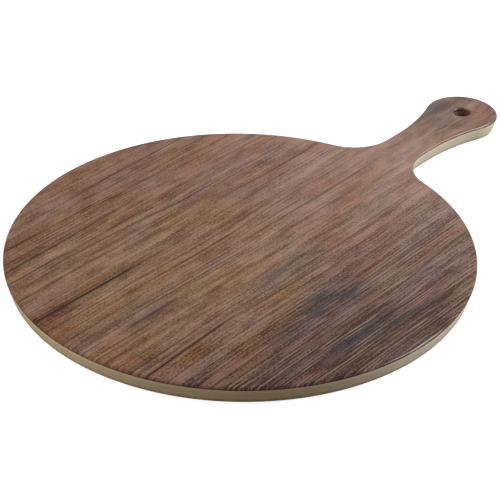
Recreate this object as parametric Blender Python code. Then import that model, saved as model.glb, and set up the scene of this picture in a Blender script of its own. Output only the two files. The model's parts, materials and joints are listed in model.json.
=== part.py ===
"""Round serving board with a paddle handle, moulded in melamine with a wood-print top.

Lengths are metres and +Z is up. The board stands on the plane z = 0 and its handle points
along +X. The origin is the middle of the board's footprint, on the surface it stands on.
"""

import math

import bmesh
import bpy
from mathutils import Vector

# Plan of the board
DISC_DIAMETER = 0.305
HANDLE_LENGTH = 0.125
HANDLE_END_WIDTH = 0.053
NECK_WIDTH = 0.032
NECK_STRAIGHT = 0.013
NECK_FILLET = 0.032

# Section through the rim
BOARD_THICKNESS = 0.012
RIM_DRAFT = math.radians(15)
TOP_EDGE_RADIUS = 0.002
RIM_FOOT_RADIUS = 0.0018
RIM_FOOT_WIDTH = 0.0045
RIM_INNER_RADIUS = 0.0008
RIM_INNER_DRAFT = math.radians(8)
PLATE_THICKNESS = 0.0073
PLATE_FILLET = 0.0015

# Wood-print sheet, let into the top of the moulding
SHEET_THICKNESS = 0.0006
SHEET_WRAP = 0.0008
SEAT_GAP = 0.0003

# Hanging hole in the end of the handle
HOLE_DIAMETER = 0.012
HOLE_BOSS_WALL = 0.004
HOLE_FOOT_RADIUS = 0.001

# Non-slip feet, bonded into round pockets under the disc
FOOT_COUNT = 6
FOOT_DIAMETER = 0.018
FOOT_HEIGHT = 0.003
FOOT_PROTRUSION = 0.001
FOOT_EDGE_DISTANCE = 0.032
FOOT_EDGE_RADIUS = 0.0006
FOOT_GROOVE_DISTANCE = 0.003
FOOT_GROOVE_WIDTH = 0.0015
FOOT_GROOVE_DEPTH = 0.0006
FOOT_POCKET_WALL = 0.0025
BOSS_DRAFT = math.radians(4)
BOSS_EDGE_RADIUS = 0.0004

# Facets along each arc
DISC_STEPS = 36
NECK_STEPS = 6
SIDE_STEPS = 5
END_STEPS = 10
HOLE_STEPS = 28
FOOT_STEPS = 20
ROUND_FACET = math.radians(38)

# Colours and finishes
MELAMINE_COLOUR = (0.55, 0.48, 0.38, 1.0)
MELAMINE_ROUGHNESS = 0.3
WOOD_PRINT_COLOUR = (0.17, 0.105, 0.075, 1.0)
WOOD_PRINT_ROUGHNESS = 0.38
SILICONE_COLOUR = (0.05, 0.045, 0.042, 1.0)
SILICONE_ROUGHNESS = 0.7

# Heights above the surface that the board stands on
RIM_FOOT_Z = FOOT_PROTRUSION
SERVING_Z = RIM_FOOT_Z + BOARD_THICKNESS
SHEET_SEAT = SHEET_THICKNESS + SEAT_GAP
MOULDING_TOP_Z = SERVING_Z - SHEET_SEAT
PLATE_UNDERSIDE_Z = MOULDING_TOP_Z - PLATE_THICKNESS
SHEET_LIP_Z = SERVING_Z - TOP_EDGE_RADIUS - SHEET_WRAP
REBATE_Z = SHEET_LIP_Z - SEAT_GAP
POCKET_TOP_Z = FOOT_HEIGHT + SEAT_GAP

# Plan positions, with the disc's centre set so that the footprint is centred
DISC_RADIUS = DISC_DIAMETER / 2
DISC_X = -HANDLE_LENGTH / 2
HANDLE_END_RADIUS = HANDLE_END_WIDTH / 2
HOLE_X = DISC_X + DISC_RADIUS + HANDLE_LENGTH - HANDLE_END_RADIUS
HOLE_RADIUS = HOLE_DIAMETER / 2
FOOT_RADIUS = FOOT_DIAMETER / 2
POCKET_RADIUS = FOOT_RADIUS + SEAT_GAP
FOOT_RING_RADIUS = DISC_RADIUS - FOOT_EDGE_DISTANCE

# A point well inside the board, which only gives a flat its direction
FAR_IN = DISC_RADIUS


def arc_points(centre, radius, start, end, steps):
    """Points along an arc, both ends included."""
    angles = [start + (end - start) * step / steps for step in range(steps + 1)]
    return [
        (centre[0] + radius * math.cos(angle), centre[1] + radius * math.sin(angle))
        for angle in angles
    ]


def paddle_outline(inset):
    """Plan outline moved in by inset, counter-clockwise from the handle's tip.

    A round end, a long hollow side, a straight neck and a fillet run into the disc, each
    tangent to the next. Moved-in outlines keep the same centres, so their points pair up.
    """
    neck = NECK_WIDTH / 2
    fillet_height = neck + NECK_FILLET
    fillet_reach = math.sqrt((DISC_RADIUS + NECK_FILLET) ** 2 - fillet_height**2)
    side_x = DISC_X + fillet_reach + NECK_STRAIGHT
    side_reach = HOLE_X - side_x
    widening = HANDLE_END_RADIUS - neck
    side_radius = (side_reach**2 + neck**2 - HANDLE_END_RADIUS**2) / (2 * widening)
    side_height = neck + side_radius
    side_angle = math.atan2(-side_height, side_reach)
    fillet_angle = math.atan2(fillet_height, fillet_reach)

    end = arc_points((HOLE_X, 0), HANDLE_END_RADIUS - inset, 0, math.pi + side_angle, END_STEPS)
    side = arc_points((side_x, side_height), side_radius + inset, side_angle, -math.pi / 2, SIDE_STEPS)
    fillet = arc_points(
        (DISC_X + fillet_reach, fillet_height),
        NECK_FILLET + inset,
        1.5 * math.pi,
        math.pi + fillet_angle,
        NECK_STEPS,
    )
    disc = arc_points((DISC_X, 0), DISC_RADIUS - inset, fillet_angle, math.pi, DISC_STEPS)
    half = end + side[1:] + fillet + disc[1:]
    mirrored = [(x, -y) for x, y in reversed(half[1:-1])]
    return half + mirrored


def circle_outline(centre, radius, steps):
    """Points of a circle, counter-clockwise."""
    return arc_points(centre, radius, 0, math.tau, steps)[:-1]


def rounded_profile(corners):
    """Section line through corners (across, z, radius), with each corner rounded.

    The first and last corners only give the line its direction and are left out. Where two
    neighbouring roundings want more than the flat between them, they share it.
    """
    places = [Vector(corner[:2]) for corner in corners]
    half_angles = [0.0] * len(corners)
    cuts = [0.0] * len(corners)
    for index in range(1, len(corners) - 1):
        back = places[index - 1] - places[index]
        ahead = places[index + 1] - places[index]
        half_angles[index] = back.angle(ahead) / 2
        cuts[index] = max(corners[index][2], 0.0) / math.tan(half_angles[index])

    points = []
    for index in range(1, len(corners) - 1):
        apex = places[index]
        if cuts[index] == 0:
            points.append(tuple(apex))
            continue
        back = places[index - 1] - apex
        ahead = places[index + 1] - apex
        room_back = back.length * cuts[index] / (cuts[index] + cuts[index - 1])
        room_ahead = ahead.length * cuts[index] / (cuts[index] + cuts[index + 1])
        cut = min(cuts[index], room_back, room_ahead)
        radius = cut * math.tan(half_angles[index])
        middle = (back.normalized() + ahead.normalized()).normalized()
        centre = apex + middle * (radius / math.sin(half_angles[index]))
        first = apex + back.normalized() * cut - centre
        last = apex + ahead.normalized() * cut - centre
        start = math.atan2(first.y, first.x)
        sweep = math.remainder(math.atan2(last.y, last.x) - start, math.tau)
        steps = max(2, round(abs(sweep) / ROUND_FACET))
        points += arc_points(centre, radius, start, start + sweep, steps)
    return points


def rim_wall(z, depth=0.0):
    """Inset of the drafted rim at height z, depth below its outer surface."""
    round_centre_z = SERVING_Z - TOP_EDGE_RADIUS
    surface = TOP_EDGE_RADIUS * (1 - 1 / math.cos(RIM_DRAFT))
    return surface + (round_centre_z - z) * math.tan(RIM_DRAFT) + depth / math.cos(RIM_DRAFT)


def hole_wall(_z, depth=0.0):
    """Radius of the hanging hole's upright wall, depth below its surface."""
    return HOLE_RADIUS + depth


def add_ring(mesh, outline, z):
    """Vertices of one level outline."""
    return [mesh.verts.new((x, y, z)) for x, y in outline]


def skin_rings(mesh, rings):
    """Quads between each ring and the next."""
    for ring, following in zip(rings, rings[1:]):
        for index in range(len(ring)):
            wrap = (index + 1) % len(ring)
            mesh.faces.new((ring[index], ring[wrap], following[wrap], following[index]))


def paddle_wall(mesh, profile):
    """Wall that carries a section line round the board's plan outline."""
    rings = [add_ring(mesh, paddle_outline(inset), z) for inset, z in profile]
    skin_rings(mesh, rings)
    return rings


def round_wall(mesh, centre, profile, steps):
    """Wall that turns a section line about an upright axis."""
    rings = [add_ring(mesh, circle_outline(centre, radius, steps), z) for radius, z in profile]
    skin_rings(mesh, rings)
    return rings


def fill_flat(mesh, loops):
    """Level face inside the first loop, with the other loops left as holes."""
    edges = []
    for loop in loops:
        for index in range(len(loop)):
            edges.append(mesh.edges.get((loop[index - 1], loop[index])))
    bmesh.ops.triangle_fill(mesh, use_beauty=True, edges=edges)


def principled(name, colour, roughness):
    """Plain coloured material."""
    material = bpy.data.materials.new(name)
    material.use_nodes = True
    shader = material.node_tree.nodes["Principled BSDF"]
    shader.inputs["Base Color"].default_value = colour
    shader.inputs["Roughness"].default_value = roughness
    shader.inputs["Metallic"].default_value = 0.0
    return material


def add_piece(name, mesh, material, parent):
    """Scene object for a finished mesh, smooth across its facets."""
    bmesh.ops.recalc_face_normals(mesh, faces=mesh.faces)
    data = bpy.data.meshes.new(name)
    mesh.to_mesh(data)
    mesh.free()
    data.shade_smooth()
    data.set_sharp_from_angle(angle=math.radians(35))
    data.materials.append(material)
    piece = bpy.data.objects.new(name, data)
    piece.parent = parent
    bpy.context.scene.collection.objects.link(piece)
    return piece


def foot_centres():
    """Plan positions of the feet, the first one in line with the handle."""
    angles = [math.tau * index / FOOT_COUNT for index in range(FOOT_COUNT)]
    return [
        (DISC_X + FOOT_RING_RADIUS * math.cos(angle), FOOT_RING_RADIUS * math.sin(angle))
        for angle in angles
    ]


def rim_profile():
    """Moulding's section, from its flat top out over the rim and in under the plate."""
    foot_inset = rim_wall(RIM_FOOT_Z)
    inner_foot_inset = foot_inset + RIM_FOOT_WIDTH
    inner_top_inset = inner_foot_inset + (PLATE_UNDERSIDE_Z - RIM_FOOT_Z) * math.tan(RIM_INNER_DRAFT)
    seat_radius = TOP_EDGE_RADIUS - SHEET_SEAT
    return rounded_profile([
        (FAR_IN, MOULDING_TOP_Z, 0),
        (rim_wall(MOULDING_TOP_Z, SHEET_SEAT), MOULDING_TOP_Z, seat_radius),
        (rim_wall(REBATE_Z, SHEET_SEAT), REBATE_Z, 0),
        (rim_wall(REBATE_Z), REBATE_Z, 0),
        (foot_inset, RIM_FOOT_Z, RIM_FOOT_RADIUS),
        (inner_foot_inset, RIM_FOOT_Z, RIM_INNER_RADIUS),
        (inner_top_inset, PLATE_UNDERSIDE_Z, PLATE_FILLET),
        (FAR_IN, PLATE_UNDERSIDE_Z, 0),
    ])


def hole_profile():
    """Hanging hole's section, from the flat top down the bore and up its boss."""
    boss_radius = HOLE_RADIUS + HOLE_BOSS_WALL
    boss_root = boss_radius + (PLATE_UNDERSIDE_Z - RIM_FOOT_Z) * math.tan(BOSS_DRAFT)
    return rounded_profile([
        (FAR_IN, MOULDING_TOP_Z, 0),
        (hole_wall(MOULDING_TOP_Z, SHEET_SEAT), MOULDING_TOP_Z, TOP_EDGE_RADIUS - SHEET_SEAT),
        (hole_wall(REBATE_Z, SHEET_SEAT), REBATE_Z, 0),
        (hole_wall(REBATE_Z), REBATE_Z, 0),
        (hole_wall(RIM_FOOT_Z), RIM_FOOT_Z, HOLE_FOOT_RADIUS),
        (boss_radius, RIM_FOOT_Z, BOSS_EDGE_RADIUS),
        (boss_root, PLATE_UNDERSIDE_Z, PLATE_FILLET),
        (FAR_IN, PLATE_UNDERSIDE_Z, 0),
    ])


def pocket_profile():
    """Section of a foot's boss and pocket, from the plate down and up into the pocket."""
    boss_radius = POCKET_RADIUS + FOOT_POCKET_WALL
    boss_root = boss_radius + (PLATE_UNDERSIDE_Z - RIM_FOOT_Z) * math.tan(BOSS_DRAFT)
    return rounded_profile([
        (FAR_IN, PLATE_UNDERSIDE_Z, 0),
        (boss_root, PLATE_UNDERSIDE_Z, PLATE_FILLET),
        (boss_radius, RIM_FOOT_Z, BOSS_EDGE_RADIUS),
        (POCKET_RADIUS, RIM_FOOT_Z, 0),
        (POCKET_RADIUS, POCKET_TOP_Z, 0),
        (0, POCKET_TOP_Z, 0),
    ])


def build_moulding(parent):
    """Melamine board: hollow underneath, with a foot rim, pockets and a hanging hole."""
    mesh = bmesh.new()
    rim = paddle_wall(mesh, rim_profile())
    hole = round_wall(mesh, (HOLE_X, 0), hole_profile(), HOLE_STEPS)
    pockets = [round_wall(mesh, centre, pocket_profile(), FOOT_STEPS) for centre in foot_centres()]
    fill_flat(mesh, [rim[0], hole[0]])
    fill_flat(mesh, [rim[-1], hole[-1]] + [pocket[0] for pocket in pockets])
    for pocket in pockets:
        mesh.faces.new(pocket[-1])
    material = principled("melamine", MELAMINE_COLOUR, MELAMINE_ROUGHNESS)
    return add_piece("board_moulding", mesh, material, parent)


def sheet_profile(wall):
    """Sheet's section at an edge, from its flat top over the edge to its flat underside.

    wall gives the place of the edge's upright at a height and a depth below the surface.
    """
    underside_z = SERVING_Z - SHEET_THICKNESS
    return rounded_profile([
        (FAR_IN, SERVING_Z, 0),
        (wall(SERVING_Z), SERVING_Z, TOP_EDGE_RADIUS),
        (wall(SHEET_LIP_Z), SHEET_LIP_Z, 0),
        (wall(SHEET_LIP_Z, SHEET_THICKNESS), SHEET_LIP_Z, 0),
        (wall(underside_z, SHEET_THICKNESS), underside_z, TOP_EDGE_RADIUS - SHEET_THICKNESS),
        (FAR_IN, underside_z, 0),
    ])


def build_sheet(parent):
    """Wood-print sheet: flat on top, folded over the rim and into the hanging hole."""
    mesh = bmesh.new()
    rim = paddle_wall(mesh, sheet_profile(rim_wall))
    hole = round_wall(mesh, (HOLE_X, 0), sheet_profile(hole_wall), HOLE_STEPS)
    fill_flat(mesh, [rim[0], hole[0]])
    fill_flat(mesh, [rim[-1], hole[-1]])
    material = principled("wood_print", WOOD_PRINT_COLOUR, WOOD_PRINT_ROUGHNESS)
    return add_piece("wood_print_sheet", mesh, material, parent)


def foot_profile():
    """Section of a foot, from its bonded top down to the grooved face that grips."""
    groove_outer = FOOT_RADIUS - FOOT_GROOVE_DISTANCE
    groove_inner = groove_outer - FOOT_GROOVE_WIDTH
    return rounded_profile([
        (0, FOOT_HEIGHT, 0),
        (FOOT_RADIUS, FOOT_HEIGHT, BOSS_EDGE_RADIUS),
        (FOOT_RADIUS, 0, FOOT_EDGE_RADIUS),
        (groove_outer, 0, 0),
        (groove_outer, FOOT_GROOVE_DEPTH, 0),
        (groove_inner, FOOT_GROOVE_DEPTH, 0),
        (groove_inner, 0, 0),
        (0, 0, 0),
    ])


def build_foot(name, centre, material, parent):
    """Silicone foot: a flat puck with a ring groove in the face that it stands on."""
    mesh = bmesh.new()
    rings = round_wall(mesh, centre, foot_profile(), FOOT_STEPS)
    mesh.faces.new(rings[0])
    mesh.faces.new(rings[-1])
    return add_piece(name, mesh, material, parent)


def main():
    """Build the board in an empty scene."""
    for scene_object in list(bpy.data.objects):
        bpy.data.objects.remove(scene_object)
    board = bpy.data.objects.new("serving_board", None)
    bpy.context.scene.collection.objects.link(board)
    build_moulding(board)
    build_sheet(board)
    silicone = principled("silicone", SILICONE_COLOUR, SILICONE_ROUGHNESS)
    for number, centre in enumerate(foot_centres(), start=1):
        build_foot(f"nonslip_foot_{number}", centre, silicone, board)


main()
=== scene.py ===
"""Dresses the round serving board: moulding, wood-print sheet, non-slip feet and photo stage.

Lengths are metres and +Z is up. The handle points along +X and the board stands on z = 0.
"""

import json
import math
from collections import namedtuple

import bpy
from mathutils import Matrix, Vector


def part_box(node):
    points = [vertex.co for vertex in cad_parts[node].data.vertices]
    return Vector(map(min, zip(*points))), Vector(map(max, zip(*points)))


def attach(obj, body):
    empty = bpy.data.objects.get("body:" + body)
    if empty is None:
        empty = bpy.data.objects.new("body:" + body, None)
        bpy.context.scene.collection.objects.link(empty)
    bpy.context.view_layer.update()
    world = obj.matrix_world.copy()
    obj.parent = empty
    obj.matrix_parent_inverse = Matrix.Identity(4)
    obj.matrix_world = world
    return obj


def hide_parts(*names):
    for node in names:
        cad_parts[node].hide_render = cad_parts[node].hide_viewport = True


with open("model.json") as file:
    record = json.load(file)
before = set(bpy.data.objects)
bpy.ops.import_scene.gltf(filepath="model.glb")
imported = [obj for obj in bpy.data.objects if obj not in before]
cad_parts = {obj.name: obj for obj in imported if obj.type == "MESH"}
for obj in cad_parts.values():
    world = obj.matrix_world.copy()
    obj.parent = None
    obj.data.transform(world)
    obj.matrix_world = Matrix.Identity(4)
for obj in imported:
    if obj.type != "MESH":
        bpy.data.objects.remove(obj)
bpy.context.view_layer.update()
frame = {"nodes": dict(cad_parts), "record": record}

bl_info = {
    "name": "Round Serving Board",
    "version": (1, 0, 0),
    "blender": (4, 5, 0),
    "location": "View3D > Sidebar > Serving Board",
    "description": "Builds a melamine serving board with a wood-print top and the stage it stands on",
    "category": "Add Mesh",
}

# Places and sizes read from the frame
SHEET_LOW, SHEET_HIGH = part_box("wood_print_sheet")
MOULDING_LOW, MOULDING_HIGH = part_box("board_moulding")
FOOT_NODES = sorted(name for name in frame["nodes"] if name.startswith("nonslip_foot"))
FOOT_BOXES = [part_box(name) for name in FOOT_NODES]
FOOT_CENTRES = [(low + high) / 2 for low, high in FOOT_BOXES]
FOOT_LOW, FOOT_HIGH = FOOT_BOXES[0]
FOOT_RADIUS = (FOOT_HIGH.x - FOOT_LOW.x) / 2
HOLE_LOW, HOLE_HIGH = frame["record"]["physics"]["openings"][0]["box_m"]
HOLE_X = (HOLE_LOW[0] + HOLE_HIGH[0]) / 2
DISC_X = sum(centre.x for centre in FOOT_CENTRES) / len(FOOT_CENTRES)
DISC_CENTRE = (DISC_X, 0.0, 0.0)
RING_RADIUS = (FOOT_CENTRES[0] - Vector(DISC_CENTRE)).xy.length

# How finely curves are stepped
PLAN_STEP = 0.0025
PLAN_TURN = math.radians(3)
SECTION_TURN = math.radians(5)
HOLE_STEPS = 96
FOOT_STEPS = 48

# Meshing distances
FAR_IN = 0.1
FLAT_SUPPORT = 0.0006
MERGE_DISTANCE = 0.000002
SHARP_ANGLE = math.radians(40)

MILLIMETRES = 1000.0


# Settings


def length(name, description, default):
    """Property for a size in metres."""
    return bpy.props.FloatProperty(
        name=name, description=description, default=default, unit="LENGTH", precision=5
    )


def angle(name, description, degrees):
    """Property for an angle, given in degrees."""
    return bpy.props.FloatProperty(
        name=name, description=description, default=math.radians(degrees), subtype="ANGLE"
    )


def share(name, description, default):
    """Property for a value from 0 to 1."""
    return bpy.props.FloatProperty(
        name=name, description=description, default=default, min=0.0, max=1.0, subtype="FACTOR"
    )


def colour(name, description, default):
    """Property for a linear colour."""
    return bpy.props.FloatVectorProperty(
        name=name, description=description, default=default, min=0.0, max=1.0, subtype="COLOR"
    )


class BoardPlan(bpy.types.PropertyGroup):
    """Outline of the board seen from above."""

    disc_radius: length("Disc Radius", "Radius of the round board", SHEET_HIGH.y)
    handle_end_radius: length("Handle End Radius", "Round end of the handle", SHEET_HIGH.x - HOLE_X)
    neck_width: length("Neck Width", "Width of the handle at its narrowest", 0.032)
    neck_straight: length("Neck Straight", "Straight stretch of the neck", 0.013)
    neck_fillet: length("Neck Fillet", "Radius between the neck and the disc", 0.032)
    hole_radius: length("Hole Radius", "Radius of the hanging hole", 0.006)


class BoardSection(bpy.types.PropertyGroup):
    """Section through the rim, the sheet, the pockets and the feet."""

    rim_draft: angle("Rim Draft", "Lean of the rim, inwards towards its foot", 15)
    top_edge_radius: length("Top Edge Radius", "Rounding between the top and the rim", 0.002)
    rim_foot_radius: length("Rim Foot Radius", "Rounding under the rim", 0.0018)
    rim_foot_width: length("Rim Foot Width", "Width of the rim where it is lowest", 0.0045)
    rim_inner_radius: length("Rim Inner Radius", "Rounding inside the rim's foot", 0.0008)
    rim_inner_draft: angle("Rim Inner Draft", "Lean of the rim's inner wall", 8)
    plate_thickness: length("Plate Thickness", "Thickness of the moulding behind the rim", 0.0073)
    plate_fillet: length("Plate Fillet", "Fillet between a wall and the plate", 0.0015)
    sheet_thickness: length("Sheet Thickness", "Thickness of the wood-print sheet", 0.0006)
    print_seam: length("Print Seam", "Line left between the print and the plain rim", 0.00003)
    hole_boss_wall: length("Hole Boss Wall", "Wall round the hanging hole underneath", 0.004)
    hole_foot_radius: length("Hole Foot Radius", "Rounding of the hole underneath", 0.001)
    pocket_wall: length("Pocket Wall", "Wall round each foot's pocket", 0.0025)
    pocket_gap: length("Pocket Gap", "Room round and above a foot in its pocket", 0.0003)
    boss_draft: angle("Boss Draft", "Lean of the bosses' walls", 4)
    boss_edge_radius: length("Boss Edge Radius", "Rounding of the bosses' edges", 0.0004)
    foot_edge_radius: length("Foot Edge Radius", "Rounding of a foot's lower edge", 0.0006)
    foot_groove_distance: length("Groove Distance", "From a foot's side to its ring groove", 0.003)
    foot_groove_width: length("Groove Width", "Width of a foot's ring groove", 0.0015)
    foot_groove_depth: length("Groove Depth", "Depth of a foot's ring groove", 0.0006)
    foot_groove_radius: length("Groove Radius", "Rounding of the groove's edges", 0.00015)


class BoardFinish(bpy.types.PropertyGroup):
    """Colours and gloss of the three materials."""

    grain_dark: colour("Dark Grain", "Dark end of the print's brown", (0.090, 0.036, 0.015))
    grain_light: colour("Light Grain", "Light end of the print's brown", (0.295, 0.178, 0.108))
    grain_line: colour("Growth Lines", "Dark lines of the print", (0.046, 0.018, 0.009))
    grain_hair: colour("Hairlines", "Light hairlines of the print", (0.260, 0.170, 0.120))
    # Painted shade: multiplies the print darker over its front side
    grain_deep: colour("Deep Side", "Tint over the print's darker side", (0.46, 0.45, 0.49))
    grain_mauve: colour("Mauve Cast", "Tint over the print away from its middle", (0.92, 0.855, 0.98))
    grain_blush: colour("Blush", "Tint of the print's reddish patches", (1.0, 0.84, 0.82))
    grain_smoke: colour("Smoke", "Tint of the print's smoky patches", (0.35, 0.42, 0.65))
    # Painted shade: the print darkened where it folds down over the edge
    grain_fold_shade: colour("Edge Grain", "Print where it folds over the edge", (0.042, 0.011, 0.003))
    melamine: colour("Melamine", "Plain pale moulding", (0.53, 0.420, 0.285))
    melamine_shade: colour("Melamine Shade", "Darker drift in the moulding", (0.42, 0.33, 0.22))
    # Painted shade: the rim darkened towards its foot in rubbed patches
    melamine_foot_shade: colour("Rim Grime", "Rubbed dirt along the rim's foot", (0.11, 0.085, 0.05))
    # Painted highlight: a lighter band of moulding just under the print
    melamine_lip_highlight: colour("Rim Lip", "Moulding next to the print", (0.62, 0.54, 0.48))
    # Painted shade: the hanging hole's bore darkened
    bore_shade: colour("Bore Stain", "Dark stain inside the hanging hole", (0.230, 0.125, 0.090))
    silicone: colour("Silicone", "Non-slip feet", (0.045, 0.041, 0.038))
    silicone_dust: colour("Foot Dust", "Dust caught on the feet", (0.17, 0.155, 0.135))
    print_gloss: share("Print Gloss", "Specular level of the glazed print", 0.07)
    print_roughness: share("Print Roughness", "Roughness of the glazed print", 0.42)
    edge_roughness: share("Edge Roughness", "Roughness of the glaze polished over the edges", 0.20)
    melamine_gloss: share("Melamine Gloss", "Specular level of the plain moulding", 0.12)
    melamine_roughness: share("Melamine Roughness", "Roughness of the plain moulding", 0.34)
    silicone_gloss: share("Silicone Gloss", "Specular level of the feet", 0.35)
    silicone_roughness: share("Silicone Roughness", "Roughness of the feet", 0.72)


class BoardStage(bpy.types.PropertyGroup):
    """Camera, lamps and floor."""

    view_azimuth: angle("View Azimuth", "Turn of the camera about the board", -49.771)
    view_elevation: angle("View Elevation", "Height of the camera above the horizon", 32.557)
    view_roll: angle("View Roll", "Tilt of the camera about its line of sight", 1.121)
    view_distance: length("View Distance", "From the camera to its target", 1.03096)
    target_x: length("Target X", "Point that the camera looks at", -0.06316)
    target_y: length("Target Y", "Point that the camera looks at", -0.00854)
    focal_length: bpy.props.FloatProperty(
        name="Focal Length", description="Lens of the camera", default=115.42, unit="CAMERA"
    )
    floor_size: length("Floor Size", "Side of the square floor", 8.0)
    floor_tone: colour("Floor Tone", "Floor as the camera sees it lit", (0.3, 0.3, 0.3))
    floor_bounce: colour("Floor Bounce", "Floor as it lights the board", (0.22, 0.170, 0.105))
    floor_glow: share("Floor Glow", "Floor's own white towards the camera", 0.90)
    ambient: share("Ambient", "Even light from the surroundings", 0.30)


class BoardSettings(bpy.types.PropertyGroup):
    """All settings of the serving board."""

    plan: bpy.props.PointerProperty(type=BoardPlan, name="Plan")
    section: bpy.props.PointerProperty(type=BoardSection, name="Section")
    finish: bpy.props.PointerProperty(type=BoardFinish, name="Finish")
    stage: bpy.props.PointerProperty(type=BoardStage, name="Stage")


def settings():
    """The scene's serving-board settings."""
    return bpy.context.scene.serving_board


# Outlines and sections


def arc_points(centre, radius, start, end, steps):
    """Points along an arc, both ends included."""
    angles = [start + (end - start) * step / steps for step in range(steps + 1)]
    return [
        (centre[0] + radius * math.cos(turn), centre[1] + radius * math.sin(turn))
        for turn in angles
    ]


def plan_arc(centre, radius, start, end):
    """Arc of the plan, stepped finely enough to look smooth."""
    sweep = abs(end - start)
    steps = math.ceil(max(sweep * radius / PLAN_STEP, sweep / PLAN_TURN))
    return arc_points(centre, radius, start, end, steps)


def paddle_outline():
    """Plan outline, counter-clockwise from the handle's tip.

    A round end, a long hollow side, a straight neck and a fillet run into the disc, each
    tangent to the next.
    """
    plan = settings().plan
    neck = plan.neck_width / 2
    fillet_height = neck + plan.neck_fillet
    fillet_reach = math.sqrt((plan.disc_radius + plan.neck_fillet) ** 2 - fillet_height**2)
    side_x = DISC_X + fillet_reach + plan.neck_straight
    side_reach = HOLE_X - side_x
    widening = plan.handle_end_radius - neck
    side_radius = (side_reach**2 + neck**2 - plan.handle_end_radius**2) / (2 * widening)
    side_height = neck + side_radius
    side_angle = math.atan2(-side_height, side_reach)
    fillet_angle = math.atan2(fillet_height, fillet_reach)

    fillet_centre = (DISC_X + fillet_reach, fillet_height)
    end = plan_arc((HOLE_X, 0), plan.handle_end_radius, 0, math.pi + side_angle)
    side = plan_arc((side_x, side_height), side_radius, side_angle, -math.pi / 2)
    fillet = plan_arc(fillet_centre, plan.neck_fillet, 1.5 * math.pi, math.pi + fillet_angle)
    disc = plan_arc((DISC_X, 0), plan.disc_radius, fillet_angle, math.pi)
    half = end + side[1:] + fillet + disc[1:]
    mirrored = [(x, -y) for x, y in reversed(half[1:-1])]
    return half + mirrored


def rounded_section(corners):
    """Section line through corners (across, z, radius), with each corner rounded.

    Neighbouring roundings share the flat between them where they want more than it has.
    """
    places = [Vector(corner[:2]) for corner in corners]
    arms = {}
    cuts = [0.0] * len(corners)
    for index in range(1, len(corners) - 1):
        back = places[index - 1] - places[index]
        ahead = places[index + 1] - places[index]
        half_angle = back.angle(ahead) / 2
        arms[index] = (back, ahead, half_angle)
        cuts[index] = max(corners[index][2], 0.0) / math.tan(half_angle)

    points = [tuple(places[0])]
    for index, (back, ahead, half_angle) in arms.items():
        apex = places[index]
        wanted = cuts[index]
        if wanted == 0:
            points.append(tuple(apex))
            continue
        room_back = back.length * wanted / (wanted + cuts[index - 1])
        room_ahead = ahead.length * wanted / (wanted + cuts[index + 1])
        cut = min(wanted, room_back, room_ahead)
        radius = cut * math.tan(half_angle)
        middle = (back.normalized() + ahead.normalized()).normalized()
        centre = apex + middle * (radius / math.sin(half_angle))
        first = apex + back.normalized() * cut - centre
        last = apex + ahead.normalized() * cut - centre
        start = math.atan2(first.y, first.x)
        sweep = math.remainder(math.atan2(last.y, last.x) - start, math.tau)
        steps = max(2, round(abs(sweep) / SECTION_TURN))
        points += arc_points(centre, radius, start, start + sweep, steps)
    points.append(tuple(places[-1]))
    return points


def supported(points, ends=((0, 1), (-1, -2))):
    """Section whose end flats are cut short, just beyond the roundings.

    The short flats keep the shading of the wide faces beside them level.
    """
    for end, inner in ends:
        away = Vector(points[end]) - Vector(points[inner])
        points[end] = tuple(Vector(points[inner]) + away.normalized() * FLAT_SUPPORT)
    return points


def rim_wall(z, depth=0.0):
    """Inset of the drafted rim at height z, depth below its outer surface."""
    section = settings().section
    round_centre_z = SHEET_HIGH.z - section.top_edge_radius
    surface = section.top_edge_radius * (1 - 1 / math.cos(section.rim_draft))
    lean = (round_centre_z - z) * math.tan(section.rim_draft)
    return surface + lean + depth / math.cos(section.rim_draft)


def hole_wall(_z, depth=0.0):
    """Distance of the hole's upright wall from its surface."""
    return depth


def plate_underside():
    """Height of the plate's underside."""
    return MOULDING_HIGH.z - settings().section.plate_thickness


def moulding_section(wall, foot_radius, inner, inner_radius, inner_draft):
    """Moulding's section at an edge, from its flat top over the edge and in under the plate."""
    section = settings().section
    top_z = MOULDING_HIGH.z
    foot_z = MOULDING_LOW.z
    under_z = plate_underside()
    seat = SHEET_HIGH.z - top_z
    lip_z = SHEET_LOW.z - section.print_seam
    root = inner + (under_z - foot_z) * math.tan(inner_draft)
    return supported(rounded_section([
        (FAR_IN, top_z, 0),
        (wall(top_z, seat), top_z, section.top_edge_radius - seat),
        (wall(lip_z, seat), lip_z, 0),
        (wall(lip_z), lip_z, 0),
        (wall(foot_z), foot_z, foot_radius),
        (inner, foot_z, inner_radius),
        (root, under_z, section.plate_fillet),
        (FAR_IN, under_z, 0),
    ]))


def rim_section():
    """Moulding's section at the rim."""
    part = settings().section
    inner = rim_wall(MOULDING_LOW.z) + part.rim_foot_width
    return moulding_section(
        rim_wall, part.rim_foot_radius, inner, part.rim_inner_radius, part.rim_inner_draft
    )


def hole_section():
    """Moulding's section at the hanging hole, with the boss round it."""
    part = settings().section
    return moulding_section(
        hole_wall, part.hole_foot_radius, part.hole_boss_wall, part.boss_edge_radius, part.boss_draft
    )


def sheet_section(wall):
    """Sheet's section at an edge, from its flat top over the edge to its flat underside."""
    section = settings().section
    top_z = SHEET_HIGH.z
    lip_z = SHEET_LOW.z
    thickness = section.sheet_thickness
    under_z = top_z - thickness
    return supported(rounded_section([
        (FAR_IN, top_z, 0),
        (wall(top_z), top_z, section.top_edge_radius),
        (wall(lip_z), lip_z, 0),
        (wall(lip_z, thickness), lip_z, 0),
        (wall(under_z, thickness), under_z, section.top_edge_radius - thickness),
        (FAR_IN, under_z, 0),
    ]))


def pocket_radius():
    """Inner radius of a foot's pocket."""
    return FOOT_RADIUS + settings().section.pocket_gap


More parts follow.
